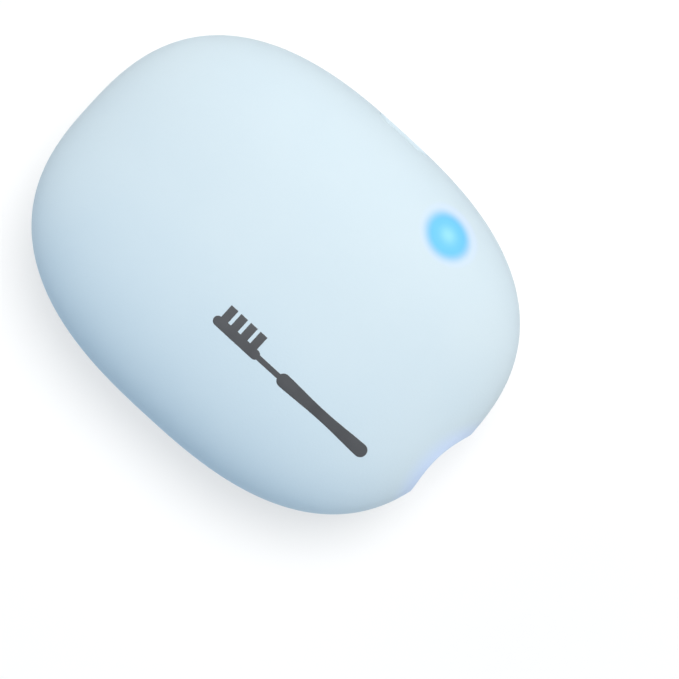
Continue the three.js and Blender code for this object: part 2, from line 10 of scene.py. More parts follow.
import bmesh
import bpy
import numpy as np
from mathutils import Euler, Matrix, Vector

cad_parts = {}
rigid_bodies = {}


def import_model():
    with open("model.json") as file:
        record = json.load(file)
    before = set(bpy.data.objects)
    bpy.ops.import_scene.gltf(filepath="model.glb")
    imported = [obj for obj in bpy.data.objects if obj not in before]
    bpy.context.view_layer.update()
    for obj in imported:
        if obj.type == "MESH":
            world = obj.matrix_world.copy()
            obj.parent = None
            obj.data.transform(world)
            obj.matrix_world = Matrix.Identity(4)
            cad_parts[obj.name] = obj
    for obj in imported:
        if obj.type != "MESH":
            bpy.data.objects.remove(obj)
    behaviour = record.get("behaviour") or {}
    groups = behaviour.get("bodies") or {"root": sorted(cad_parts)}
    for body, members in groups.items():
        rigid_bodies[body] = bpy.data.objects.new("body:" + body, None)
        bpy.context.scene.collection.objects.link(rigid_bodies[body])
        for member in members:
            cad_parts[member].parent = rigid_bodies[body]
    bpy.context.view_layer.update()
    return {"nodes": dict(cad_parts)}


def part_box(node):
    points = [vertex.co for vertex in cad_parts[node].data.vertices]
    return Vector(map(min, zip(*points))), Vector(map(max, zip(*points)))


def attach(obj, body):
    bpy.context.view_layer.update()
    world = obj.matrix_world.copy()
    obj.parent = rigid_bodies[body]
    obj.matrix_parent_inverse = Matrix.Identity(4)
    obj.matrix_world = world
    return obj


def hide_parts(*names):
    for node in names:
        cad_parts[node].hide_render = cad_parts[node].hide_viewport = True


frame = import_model()

MM = 0.001
FAR = 60.0  # millimetres, beyond the case in any direction

# ---- Driving dimensions, in millimetres ---------------------------------------------------------

# The case
cover_low, cover_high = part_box("front_cover")
HALF_HEIGHT = 18.0
PARTING_Z = cover_high.z / MM - HALF_HEIGHT
HALF_WIDTH = cover_high.x / MM
HALF_LENGTH = -cover_low.y / MM
PLAN = 2.62  # superellipse exponent of the outline
SIDE = 2.2  # and of the side profile
WALL = 1.8
HALF_GAP = 0.15
BACK_FLAT = 17.2
BACK_FLOOR = 15.4
RIM_ROUND = 0.3
EDGE_ROUND = {"mouth": 0.45, "notch": 0.25, "port": 0.2}
CUTTER_LENGTH = 20.0
CUTTER_BRIM = (0.9, 0.3)  # outwards and upwards past a rounded edge

# The mouth
MOUTH_X = -3.8
MOUTH_RADIUS = 5.7
CHANNEL_RADIUS = 5.9
CHANNEL_WALL = 1.0
CHANNEL_END = 24.0

# The hinge
HINGE_Y = 32.85
HINGE_Z = -3.0
BARREL_RADIUS = 2.85
TONGUE_ARM = ((4.0, 3.0), (4.0, 5.6), (1.2, 5.6), (-1.4, 3.2))  # (y, z) from the pin
TONGUE_HALF_WIDTH = 8.8
TONGUE_INSET = 0.004  # keeps its end off the case's own surface
TONGUE_BORE = 0.83
TONGUE_BORE_REACH = 9.5
NOTCH_HALF_WIDTH = 9.1
NOTCH_DEPTH = 6.15
NOTCH_CORNER = 0.6
LUG_RADIUS = 2.5
LUG_END = 12.1
LUG_OVERRUN = 0.5  # into the notch, which is cut afterwards
LUG_ROOT_Y = 40.0
LUG_BORE = 0.78
PIN_RADIUS = 0.75
PIN_REACH = 11.5
PIN_END_GAP = 0.1
PIN_BEVEL = 0.15
HINGE_ROOM = (12.5, 29.4)  # half width, and the y where it starts
RELIEF = ((8.8, 3.85), (12.8, 3.2))  # (x, radius) at both ends of a cone

# The back cover's lip and the front cover's rebate for it
LIP_INSET = 1.1
LIP_HEIGHT = 1.05
LIP_END_Y = 24.0
LIP_MOUTH_ROOM = 1.4
LIP_BEVEL = 0.15
REBATE_INSET = 0.9
REBATE_HEIGHT = 1.25
REBATE_END_Y = 24.3

# The reflectors
FLANGE_NEAR = 0.35
FLANGE_FAR = 1.35
FLANGE_BEVEL = 0.2
FLANGE_ROOT = FLANGE_NEAR + 0.3
FENCE_INSET = 2.1
FENCE_CLEARANCE = 0.003  # keeps trimmed parts off the flange's own edge
WELL = (15.0, 26.0)
WELL_Y = -2.0
WELL_EXPONENT = 3.0
WELL_WALL = 1.0
WELL_FLARE = 0.45
BACK_WELL_DEPTH = 10.5
FRONT_WELL_DEPTH = 9.0
CEILING_NEAR = 7.2
CEILING_FAR = 8.8

# Their screws and magnets
SCREW_PLACES = ((-20.0, 13.5), (20.0, 13.5), (-18.0, -18.0), (16.6, -23.0))
CUP_RADIUS = 3.0
CUP_BORE = 2.2
CUP_FLOOR = 2.2
CUP_BOTTOM = 3.2
CUP_BRIM = 0.3
POST_RADIUS = 2.6
POST_START = 3.25
POST_ROOT = HALF_HEIGHT - 0.6
PILOT_RADIUS = 1.05
PILOT_DEPTH = 9.6
SCREW_HOLE = 1.15
SCREW_HEAD_Z = CUP_FLOOR - 1.15
CATCH_PLACES = ((10.2, -29.5), (-14.2, -27.0))
CATCH_SEAT = 2.1
SENSOR_PLACE = (20.2, -8.0)
SENSOR_SEAT = 1.6
HOLDER_WALL = 0.7
MAGNET_FAR = 3.4

# The window, the boards and the lamps
WINDOW_X = 1.5
WINDOW_OPENING = (10.0, 32.0)
WINDOW_SIZE = (12.6, 34.6)
WINDOW_REBATE = (13.0, 35.0)
WINDOW_NEAR = 8.02
WINDOW_THICKNESS = 0.75
WINDOW_BEVEL = 0.12
WINDOW_GAP = 0.02
WINDOW_BRIM = ((1.2, -0.3), (0.3, 0), (0, 0.3))  # (grow, height) from the ceiling
BOARD_NEAR = 9.9
SIDE_BOARD_NEAR = 4.8
BOARD_THICKNESS = 0.8
BOARD_GAP = 0.05
BOARD_SCREW_RISE = BOARD_THICKNESS + 0.92
LAMP_NAMES = ("uvc_lamp_1", "uva_lamp_1", "uvc_lamp_2", "uva_lamp_2")
LAMP_PITCH = 8.0
LAMP_SIZE = 3.5
LAMP_BASE_HEIGHT = 0.45
LAMP_GAP = 0.02
LENS_RADIUS = 1.5
DOME_RADIUS = 1.38
LENS_RISE = 0.3
LAMP_BOARD_SCREWS = ((-8.7, -18.6), (8.7, 13.0))
SIDE_BOARD_SCREWS = ((18.4, -11.4), (19.9, 6.4))
BOARD_POST_RADIUS = 1.6
BOARD_PILOT = 0.75
BOARD_PILOT_DEPTH = 2.9

# The charging socket and the indicator
SOCKET_Y = 0.0
SOCKET_Z = 3.1
SOCKET_SIZE = (8.94, 3.26)
SOCKET_BORE = (8.3, 2.56)
SOCKET_X = (19.2, 26.2)
SOCKET_BEVEL = 0.12
BLADE_HALF = (3.3, 0.35)
CONTACT_COUNT = 8
CONTACT_PITCH = 0.72
CONTACT_X = (SOCKET_X[1] - 3.4, SOCKET_X[1] - 0.75)
CONTACT_HALF = (0.17, 0.03)  # half the width and half the thickness
PORT_SIZE = (9.4, 3.7)
INDICATOR = (19.75, -14.25)
GUIDE_RADIUS = 1.5
GUIDE_START = 6.35
GUIDE_GAP = 0.3
GUIDE_POCKET = 1.8
GUIDE_POCKET_INSET = 0.8

# The printed sign
PRINT_PLACE = (-9.0, -12.3)
PRINT_LENGTH = 28.0
PRINT_RISE = 0.025
PRINT_DEPTH = 0.08
BRUSH_SHIFT = -0.95  # x of its middle line from PRINT_PLACE
HANDLE_END = 2.2
HANDLE_HALF_WIDTH = 1.0
HANDLE_WAIST = 0.25
NECK_ENDS = (1.2, 6.6)
NECK_HALF_WIDTH = 0.4
HEAD_START = 5.8
HEAD_HALF_WIDTH = 0.72
TUFT_REACH = (-0.6, 1.9)  # x of a tuft's root and tip from PRINT_PLACE
TUFT_COUNT = 4
TUFT_START = 6.75
TUFT_PITCH = 1.78
TUFT_WIDTH = 1.25


# ---- Solids -------------------------------------------------------------------------------------


class Solids:
    """Closed solids, each a loft through rings of points."""

    def __init__(self, *lofts):
        self.points = []
        self.faces = []
        for rings in lofts:
            self.loft(rings)

    def loft(self, rings):
        """Adds a solid. Rings have equally many points, or one point where the solid ends in a tip."""
        spans = []
        for ring in rings:
            spans.append((len(self.points), len(ring)))
            self.points.extend(tuple(float(v) for v in point) for point in ring)
        for (first, width), (second, other) in zip(spans, spans[1:]):
            count = max(width, other)
            for j in range(count):
                k = (j + 1) % count
                loop = (first + j % width, first + k % width, second + k % other, second + j % other)
                self.faces.append(tuple(dict.fromkeys(loop)))
        for first, width in (spans[0], spans[-1]):
            if width > 1:
                self.faces.append(tuple(range(first, first + width)))

    def build(self, name="tool"):
        data = bpy.data.meshes.new(name)
        data.from_pydata(self.points, [], self.faces)
        shape = bmesh.new()
        shape.from_mesh(data)
        bmesh.ops.recalc_face_normals(shape, faces=shape.faces)
        shape.to_mesh(data)
        shape.free()
        piece = bpy.data.objects.new(name, data)
        bpy.context.scene.collection.objects.link(piece)
        return piece


def combined(piece, operation, tools):
    """The piece after a boolean with each tool in turn. The tools are used up."""
    for tool in tools:
        other = tool.build() if isinstance(tool, Solids) else tool
        step = piece.modifiers.new("step", "BOOLEAN")
        step.operation = operation
        step.solver = "MANIFOLD"
        step.object = other
        bpy.context.view_layer.update()
        graph = bpy.context.evaluated_depsgraph_get()
        made = bpy.data.meshes.new_from_object(piece.evaluated_get(graph))
        made.materials.clear()
        piece.modifiers.clear()
        before, piece.data = piece.data, made
        bpy.data.meshes.remove(before)
        bpy.data.objects.remove(other)
    return piece


def join(piece, *tools):
    return combined(piece, "UNION", tools)


def cut(piece, *tools):
    return combined(piece, "DIFFERENCE", tools)


def trim(piece, *tools):
    return combined(piece, "INTERSECT", tools)


def place(piece, name, body, stands_for, mirrored=False, sharp=30):
    """Moves a piece to the row frame, names it, smooths it and hides the imported part that it stands for.
    """
    size = Matrix.Diagonal((MM, MM, -MM if mirrored else MM, 1))
    piece.data.transform(Matrix.Translation((0, 0, PARTING_Z * MM)) @ size)
    if mirrored:
        piece.data.flip_normals()
    piece.name = name
    piece.data.name = name
    piece.data.shade_smooth()
    piece.data.set_sharp_from_angle(angle=math.radians(sharp))
    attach(piece, body)
    if stands_for:
        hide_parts(stands_for)
    return piece


# ---- Rings --------------------------------------------------------------------------------------


def outline(count, exponent=PLAN, half=(HALF_WIDTH, HALF_LENGTH)):
    """Points on a unit superellipse that are evenly spaced when it has the given half sizes."""
    angle = np.linspace(0, 2 * math.pi, 20001)
    unit = [np.sign(f(angle)) * np.abs(f(angle)) ** (2 / exponent) for f in (np.cos, np.sin)]
    steps = np.hypot(np.diff(unit[0]) * half[0], np.diff(unit[1]) * half[1])
    reached = np.concatenate([[0], np.cumsum(steps)])
    stops = np.linspace(0, reached[-1], count, endpoint=False)
    return np.column_stack([np.interp(stops, reached, axis) for axis in unit])


FINE = outline(300)
MEDIUM = outline(200)
WELL_OUTLINE = outline(180, WELL_EXPONENT, WELL)


def spread(z, half_height=HALF_HEIGHT, exponent=SIDE):
    """Share of a pebble's full plan size that it has at a height."""
    return max(0.0, 1 - abs(z / half_height) ** exponent) ** (1 / exponent)


def level(unit, z, half, exponent=SIDE, y=0.0, grow=0.0):
    """The ring of a pebble at a height."""
    size = spread(z, half[2], exponent)
    return [((half[0] * size + grow) * u, y + (half[1] * size + grow) * v, z) for u, v in unit]


def shell_half(inset):
    return HALF_WIDTH - inset, HALF_LENGTH - inset, HALF_HEIGHT - inset


def heights(low, high, count, half_height=HALF_HEIGHT, exponent=SIDE):
    """Heights from low to high, spaced evenly along a pebble's side profile."""

    def turn(z):
        return math.copysign(math.asin(min(1.0, abs(z / half_height) ** (exponent / 2))), z)

    turns = np.linspace(turn(low), turn(high), count)
    return half_height * np.sign(turns) * np.abs(np.sin(turns)) ** (2 / exponent)


def clipped(ring, end_y):
    return [(x, min(y, end_y), z) for x, y, z in ring]


def shell_rings(inset, low, high, unit=MEDIUM, rows=40):
    """Rings of the case's pebble moved inwards, from low to high, or to its tip."""
    half = shell_half(inset)
    top = min(high, half[2])
    rings = [level(unit, z, half) for z in heights(low, top, rows, half[2])]
    if top == half[2]:
        rings[-1] = [(0, 0, top)]
    return rings


def other_share(share):
    """The second coordinate of a point on the unit plan outline, from the first."""
    return max(0.0, 1 - abs(share) ** PLAN) ** (1 / PLAN)


def shell_x(y, z, inset=0.0):
    half = shell_half(inset)
    size = spread(z, half[2])
    return half[0] * size * other_share(y / (half[1] * size))


def shell_y(x, z, inset=0.0):
    half = shell_half(inset)
    size = spread(z, half[2])
    return half[1] * size * other_share(x / (half[0] * size))


def shell_z(x, y, inset=0.0):
    half = shell_half(inset)
    reach = (abs(x / half[0]) ** PLAN + abs(y / half[1]) ** PLAN) ** (1 / PLAN)
    return half[2] * max(0.0, 1 - reach**SIDE) ** (1 / SIDE)


def circle(radius, sides=48, centre=(0.0, 0.0)):
    """An outline of (u, v, outward u, outward v)."""
    turns = [2 * math.pi * i / sides for i in range(sides)]
    around = [(math.cos(t), math.sin(t)) for t in turns]
    return [(centre[0] + radius * c, centre[1] + radius * s, c, s) for c, s in around]


def rounded(low, high, radius, sides=10):
    """A rectangle's outline with round corners, as (u, v, outward u, outward v)."""
    corners = ((high[0], high[1]), (low[0], high[1]), (low[0], low[1]), (high[0], low[1]))
    loop = []
    for quarter, (u, v) in enumerate(corners):
        centre_u = u - math.copysign(radius, u - (low[0] + high[0]) / 2)
        centre_v = v - math.copysign(radius, v - (low[1] + high[1]) / 2)
        for i in range(sides + 1):
            t = math.pi / 2 * (quarter + i / sides)
            c, s = math.cos(t), math.sin(t)
            loop.append((centre_u + radius * c, centre_v + radius * s, c, s))
    return loop


def slot_outline(size, centre=(0.0, 0.0)):
    """A slot with round ends."""
    low = (centre[0] - size[0] / 2, centre[1] - size[1] / 2)
    high = (centre[0] + size[0] / 2, centre[1] + size[1] / 2)
    return rounded(low, high, min(size) / 2 - 0.001)


def divided(loop, step=0.4):
    """An outline with more points along its straight stretches."""
    points = []
    for first, second in zip(loop, loop[1:] + loop[:1]):
        count = math.ceil(math.dist(first[:2], second[:2]) / step)
        for i in range(count):
            points.append(tuple(a + (b - a) * i / count for a, b in zip(first, second)))
    return points


def along_x(u, v, h):
    return h, u, v


def along_y(u, v, h):
    return u, h, v


def to_mouth(u, v, h):
    return u, -h, v


def along_z(u, v, h):
    return u, v, h


def stack(loop, levels, axis=along_z):
    """Rings of an outline at (grow, height) levels along an axis."""
    return [[axis(u + nu * grow, v + nv * grow, h) for u, v, nu, nv in loop] for grow, h in levels]


def bar(loop, low, high, bevel=0.0, axis=along_z):
    """Rings of an outline drawn straight from low to high, with bevelled ends if asked."""
    if bevel == 0:
        return stack(loop, [(0, low), (0, high)], axis)
    return stack(loop, [(-bevel, low), (0, low + bevel), (0, high - bevel), (-bevel, high)], axis)


def flared(loop, bottom, surface, flare, axis=along_z):
    """Rings of a cutter that leaves a rounded edge where it comes out at a surface.

    surface(u, v) is how far along the axis the surface lies, and the cutter starts from bottom. Past
    the surface it grows by a brim, so that it comes out clear of the edge.
    """
    turns = np.radians((0, 18, 36, 54, 72))
    levels = [(flare * (1 - math.cos(t)), flare * (math.sin(t) - 1)) for t in turns]
    widest = levels[-1][0] + CUTTER_BRIM[0]
    levels.append((widest, levels[-1][1] + CUTTER_BRIM[1]))
    rings = stack(loop, [(0, bottom)], axis)
    for grow, rise in levels:
        edge = [(u + nu * grow, v + nv * grow) for u, v, nu, nv in loop]
        rings.append([axis(u, v, surface(u, v) + rise) for u, v in edge])
    return rings + stack(loop, [(widest, bottom + CUTTER_LENGTH)], axis)


def rods(radius, sides, spots, low, high):
    """Upright round rods at their places."""
    return Solids(*[bar(circle(radius, sides, spot), low, high) for spot in spots])


def turned(profile, centre=(0.0, 0.0), sides=40, axis=along_z):
    """Rings of a solid of revolution, from (radius, height) points. A radius of 0 is a tip."""
    rings = []
    for radius, height in profile:
        loop = circle(radius, sides, centre) if radius > 0 else [(*centre, 0, 0)]
        rings.append([axis(u, v, height) for u, v, _, _ in loop])
    return rings


def plug(centre, radius, low, inset, sides=48):
    """Rings of a round bar whose top follows the case's pebble moved inwards."""
    rings = [[(u, v, low) for u, v, _, _ in circle(radius, sides, centre)]]
    for share in (1.0, 0.75, 0.5, 0.25):
        loop = circle(radius * share, sides, centre)
        rings.append([(u, v, shell_z(u, v, inset)) for u, v, _, _ in loop])
    rings.append([(*centre, shell_z(*centre, inset))])
    return rings


def brick(low, high, bevel=0.08):
    """Rings of a box with bevelled edges."""
    return bar(rounded(low[:2], high[:2], bevel, 2), low[2], high[2], bevel)


# ---- Covers -------------------------------------------------------------------------------------


def half_pebble(top):
    """One half of the case's outside, with a rounded rim."""
    rings = []
    for turn in np.radians((0, 22.5, 45, 67.5)):
        inset = RIM_ROUND * (1 - math.sin(turn))
        half = (HALF_WIDTH - inset, HALF_LENGTH - inset, HALF_HEIGHT)
        rings.append(level(FINE, HALF_GAP + RIM_ROUND * (1 - math.cos(turn)), half))
    return Solids(rings + shell_rings(0, HALF_GAP + RIM_ROUND, top, FINE, 84))


def screw_posts():
    return rods(POST_RADIUS, 40, SCREW_PLACES, POST_START, POST_ROOT)


def screw_pilots():
    return rods(PILOT_RADIUS, 24, SCREW_PLACES, POST_START - 1, PILOT_DEPTH)


def mouth_tool():
    loop = circle(MOUTH_RADIUS, 96, (MOUTH_X, 0))
    return Solids(flared(loop, CHANNEL_END, shell_y, EDGE_ROUND["mouth"], to_mouth))


def tongue_solid():
    """The hinge tongue: a barrel with an arm up to the front cover's tail wall."""
    turns = np.linspace(math.pi, 2 * math.pi, 29)
    section = [(BARREL_RADIUS * math.cos(t), BARREL_RADIUS * math.sin(t)) for t in turns]
    section.extend(TONGUE_ARM)
    rings = []
    for share, size in ((-1, 0.95), (-0.98, 1), (0.98, 1), (1, 0.95)):
        x = share * TONGUE_HALF_WIDTH
        rings.append([(x, HINGE_Y + u * size, HINGE_Z + v * size) for u, v in section])
    return Solids(rings)


def relief_tools():
    """Cones along the hinge axis that cut the front rim back beside the tongue."""
    (near, near_radius), (far, far_radius) = RELIEF
    cones = []
    for hand in (-1, 1):
        profile = [(near_radius, hand * near), (far_radius, hand * far)]
        cones.append(turned(profile, (HINGE_Y, HINGE_Z), 72, along_x))
    return Solids(*cones)


def port_tool():
    loop = divided(slot_outline(PORT_SIZE, (SOCKET_Y, SOCKET_Z)))
    return Solids(flared(loop, SOCKET_X[1] - 3, shell_x, EDGE_ROUND["port"], along_x))


def front_cover():
    tongue = trim(tongue_solid().build(), Solids(shell_rings(TONGUE_INSET, -17, 17, FINE, 160)))
    inside = Solids(shell_rings(WALL, -7, HALF_HEIGHT, MEDIUM, 56))
    cavity = cut(inside.build(), tongue_solid(), screw_posts())
    rebate_rings = shell_rings(REBATE_INSET, -2, REBATE_HEIGHT, MEDIUM, 6)
    rebate = Solids([clipped(ring, REBATE_END_Y) for ring in rebate_rings])
    pocket = Solids(plug(INDICATOR, GUIDE_POCKET, SIDE_BOARD_NEAR, GUIDE_POCKET_INSET))
    bore_loop = circle(TONGUE_BORE, 32, (HINGE_Y, HINGE_Z))
    bore = Solids(bar(bore_loop, -TONGUE_BORE_REACH, TONGUE_BORE_REACH, axis=along_x))
    piece = join(half_pebble(HALF_HEIGHT).build(), tongue)
    cut(piece, cavity, rebate, relief_tools(), pocket, port_tool(), bore)
    cut(piece, screw_pilots(), mouth_tool())
    return place(piece, "front_shell", "lid", "front_cover")


def lug_solids():
    """The back cover's two hinge lugs."""
    centre = (HINGE_Y, -HINGE_Z)
    rounds = []
    roots = []
    for hand in (-1, 1):
        ends = sorted((hand * (NOTCH_HALF_WIDTH - LUG_OVERRUN), hand * LUG_END))
        rounds.append(bar(circle(LUG_RADIUS, 40, centre), *ends, axis=along_x))
        low = (HINGE_Y, centre[1] - LUG_RADIUS)
        high = (LUG_ROOT_Y, centre[1] + LUG_RADIUS)
        roots.append(bar(rounded(low, high, 0.05, 2), *ends, axis=along_x))
    return join(Solids(*rounds).build(), Solids(*roots))


def lip_solid():
    """The lip, still filled in, from inside the back cover's wall to beyond the parting plane."""
    rings = shell_rings(LIP_INSET, LIP_BEVEL - LIP_HEIGHT, 1, MEDIUM, 6)
    tip = level(MEDIUM, -LIP_HEIGHT, shell_half(LIP_INSET + LIP_BEVEL))
    band = Solids([clipped(tip, LIP_END_Y - LIP_BEVEL)] + [clipped(ring, LIP_END_Y) for ring in rings])
    room = bar(circle(MOUTH_RADIUS + LIP_MOUTH_ROOM, 64, (MOUTH_X, 0)), 0, FAR, axis=to_mouth)
    return cut(band.build(), Solids(room))


def back_cover():
    inside = Solids(shell_rings(WALL, -3, BACK_FLOOR, MEDIUM, 48))
    cavity = cut(inside.build(), lug_solids(), screw_posts())
    loop = divided(rounded((-NOTCH_HALF_WIDTH, -9), (NOTCH_HALF_WIDTH, NOTCH_DEPTH), NOTCH_CORNER))
    notch = Solids(flared(loop, HINGE_Y - 12, shell_y, EDGE_ROUND["notch"], along_y))
    bore_loop = circle(LUG_BORE, 32, (HINGE_Y, -HINGE_Z))
    bore = Solids(bar(bore_loop, -PIN_REACH - PIN_END_GAP, HALF_WIDTH + 1, axis=along_x))
    piece = join(half_pebble(BACK_FLAT).build(), lip_solid())
    cut(piece, cavity, notch, bore, screw_pilots(), mouth_tool())
    return place(piece, "back_shell", "base", "back_cover", mirrored=True)


# ---- Reflectors ---------------------------------------------------------------------------------


def well_rings(grow, depth, low, high, rows=40):
    """Rings of the well's pebble from low to high, or to its tip."""
    half = (WELL[0] + grow, WELL[1] + grow, depth + grow)
    top = min(high, half[2])
    levels = heights(low, top, rows, half[2], WELL_EXPONENT)
    rings = [level(WELL_OUTLINE, z, half, WELL_EXPONENT, WELL_Y) for z in levels]
    if top == half[2]:
        rings[-1] = [(0, WELL_Y, top)]
    return rings


def well_tool(depth, end):
    """The well, with a rounded brim where it comes out of the flange."""
    half = (*WELL, depth)
    rings = [level(WELL_OUTLINE, FLANGE_NEAR - 0.3, half, WELL_EXPONENT, WELL_Y, WELL_FLARE + 0.8)]
    for turn in np.radians((72, 54, 36, 18, 0)):
        z = FLANGE_NEAR + WELL_FLARE * (1 - math.sin(turn))
        grow = WELL_FLARE * (1 - math.cos(turn))
        rings.append(level(WELL_OUTLINE, z, half, WELL_EXPONENT, WELL_Y, grow))
    return Solids(rings + well_rings(0, depth, FLANGE_NEAR + WELL_FLARE, end)[1:])


def cup_profile():
    """A screw cup's bore with a rounded brim, and the screw hole through its floor."""
    brim = [(1 - math.cos(t), 1 - math.sin(t)) for t in np.radians((60, 30, 0))]
    brim = [(CUP_BORE + CUP_BRIM * across, FLANGE_NEAR + CUP_BRIM * down) for across, down in brim]
    mouth = (brim[0][0] + 0.4, brim[0][1] - 0.25)
    hole = [(SCREW_HOLE, CUP_FLOOR), (SCREW_HOLE, CUP_BOTTOM + 1), (0, CUP_BOTTOM + 1)]
    return [(0, mouth[1]), mouth, *brim, (CUP_BORE, CUP_FLOOR), *hole]


def reflector(depth, well_end, magnets):
    """A tray: flange, bowl, mouth channel, screw cups and magnet holders.

    magnets holds a (place, seat radius) for each magnet.
    """
    edge = level(FINE, FLANGE_NEAR, shell_half(FENCE_INSET + FLANGE_BEVEL))
    flange = [edge] + shell_rings(FENCE_INSET, FLANGE_NEAR + FLANGE_BEVEL, FLANGE_FAR, FINE, 5)
    bowl = well_rings(WELL_WALL, depth, FLANGE_ROOT, well_end + WELL_WALL + 0.6, 44)
    channel_loop = circle(CHANNEL_RADIUS + CHANNEL_WALL, 80, (MOUTH_X, 0))
    channel = Solids(bar(channel_loop, CHANNEL_END + 1, FAR, axis=to_mouth)).build()
    fence = FENCE_INSET + FENCE_CLEARANCE
    trim(channel, Solids(shell_rings(fence, FLANGE_ROOT, 14, FINE, 40)))
    holder_loops = [circle(seat + HOLDER_WALL, 40, spot) for spot, seat in magnets]
    holders = Solids(*[bar(loop, FLANGE_ROOT, MAGNET_FAR) for loop in holder_loops]).build()
    trim(holders, Solids(shell_rings(fence, 0, 14, FINE, 40)))
    cups = rods(CUP_RADIUS, 40, SCREW_PLACES, FLANGE_ROOT, CUP_BOTTOM)
    piece = join(Solids(flange).build(), Solids(bowl), channel, cups, holders)
    throat = Solids(bar(circle(CHANNEL_RADIUS, 80, (MOUTH_X, 0)), CHANNEL_END, FAR, axis=to_mouth))
    bores = Solids(*[turned(cup_profile(), spot, 48) for spot in SCREW_PLACES])
    seats = Solids(*[bar(circle(seat, 40, spot), FLANGE_FAR, MAGNET_FAR + 1) for spot, seat in magnets])
    room_width, room_y = HINGE_ROOM
    room = Solids(bar(rounded((-room_width, room_y), (room_width, FAR), 0.8), -5, 30))
    return cut(piece, well_tool(depth, well_end), throat, bores, seats, room)


def back_reflector():
    magnets = [(spot, CATCH_SEAT) for spot in CATCH_PLACES] + [(SENSOR_PLACE, SENSOR_SEAT)]
    piece = reflector(BACK_WELL_DEPTH, BACK_WELL_DEPTH, magnets)
    return place(piece, "back_tray", "base", "back_reflector", mirrored=True)


def board_posts(spots, root, near):
    return rods(BOARD_POST_RADIUS, 32, spots, root, near - BOARD_GAP)


def board_pilots(spots, near):
    return rods(BOARD_PILOT, 24, spots, near - BOARD_PILOT_DEPTH, near + 1)


def front_reflector():
    piece = reflector(FRONT_WELL_DEPTH, CEILING_NEAR, [(spot, CATCH_SEAT) for spot in CATCH_PLACES])
    trim(piece, Solids(bar(rounded((-FAR, -FAR), (FAR, FAR), 1, 2), -1, CEILING_FAR)))
    join(piece, board_posts(LAMP_BOARD_SCREWS, CEILING_NEAR + 0.5, BOARD_NEAR))
    join(piece, board_posts(SIDE_BOARD_SCREWS, FLANGE_NEAR + 0.4, SIDE_BOARD_NEAR))
    cut(piece, board_pilots(LAMP_BOARD_SCREWS, BOARD_NEAR))
    cut(piece, board_pilots(SIDE_BOARD_SCREWS, SIDE_BOARD_NEAR))
    middle = (WINDOW_X, WELL_Y)
    brim = [(grow, CEILING_NEAR + rise) for grow, rise in WINDOW_BRIM]
    opening = Solids(stack(slot_outline(WINDOW_OPENING, middle), brim + [(0, CUTTER_LENGTH)]))
    rebate = Solids(bar(slot_outline(WINDOW_REBATE, middle), WINDOW_NEAR - WINDOW_GAP, CUTTER_LENGTH))
    cut(piece, opening, rebate)
    return place(piece, "front_tray", "lid", "front_reflector")


# ---- Small parts --------------------------------------------------------------------------------


def lamp_window():
    loop = slot_outline(WINDOW_SIZE, (WINDOW_X, WELL_Y))
    piece = Solids(bar(loop, WINDOW_NEAR, WINDOW_NEAR + WINDOW_THICKNESS, WINDOW_BEVEL)).build()
    return place(piece, "window_glass", "lid", "lamp_window")


def lamps():
    """Each lamp: a bevelled ceramic base with a low round lens under it."""
    top = BOARD_NEAR - LAMP_GAP
    base_near = top - LAMP_BASE_HEIGHT
    lens_near = base_near - 0.1
    half = LAMP_SIZE / 2
    turns = np.linspace(0, math.pi / 2, 9)[:-1]
    dome = [(DOME_RADIUS * math.cos(t), lens_near - LENS_RISE * math.sin(t)) for t in turns]
    lens = [(LENS_RADIUS, top - 0.2), (LENS_RADIUS, lens_near), *dome, (0, lens_near - LENS_RISE)]
    for index, name in enumerate(LAMP_NAMES):
        x, y = WINDOW_X, WELL_Y + (index - (len(LAMP_NAMES) - 1) / 2) * LAMP_PITCH
        base = brick((x - half, y - half, base_near), (x + half, y + half, top))
        piece = join(Solids(base).build(), Solids(turned(lens, (x, y), 48)))
        for face in piece.data.polygons:
            face.material_index = int(face.center.z < base_near - 0.01)
        place(piece, f"{name}_body", "lid", name)


def screw_shape(head_radius, head_height, shank_radius, length):
    """A pan-head screw with a crossed recess, its head at z = 0 and its point upwards."""
    head = [(0.55, 0), (0.8, 0.1), (0.96, 0.35), (1, 0.6), (1, 0.94), (0.96, 1)]
    profile = [(0, 0)] + [(head_radius * across, head_height * up) for across, up in head]
    root = shank_radius * 0.82
    pitch = 0.42
    end = head_height + length
    profile.append((root, head_height))
    for start in np.arange(head_height + 0.3, end - 1.2, pitch):
        profile += [(root, start), (shank_radius, start + pitch * 0.3), (root, start + pitch * 0.6)]
    profile += [(shank_radius * 0.8, end - 0.9), (0, end)]
    piece = Solids(turned(profile, sides=32)).build()
    reach, slim = head_radius * 0.5, head_radius * 0.13
    for across, along in ((reach, slim), (slim, reach)):
        loop = rounded((-across, -along), (across, along), slim * 0.5, 3)
        cut(piece, Solids(stack(loop, [(0.1, -0.2), (0, 0), (-slim * 0.4, head_height * 0.62)])))
    return piece


def screws(pattern, names, spots, head_z, body, turned_over=1):
    """Copies of one screw at its places. turned_over is -1 for a screw driven from behind."""
    for name, (x, y) in zip(names, spots):
        data = pattern.data.copy()
        data.transform(Matrix.Rotation(0.4 * x + y, 4, "Z"))
        data.transform(Matrix.Translation((x, y, head_z)) @ Matrix.Diagonal((1, 1, turned_over, 1)))
        if turned_over < 0:
            data.flip_normals()
        piece = bpy.data.objects.new(name, data)
        bpy.context.scene.collection.objects.link(piece)
        place(piece, f"{name}_body", body, name, mirrored=body == "base")


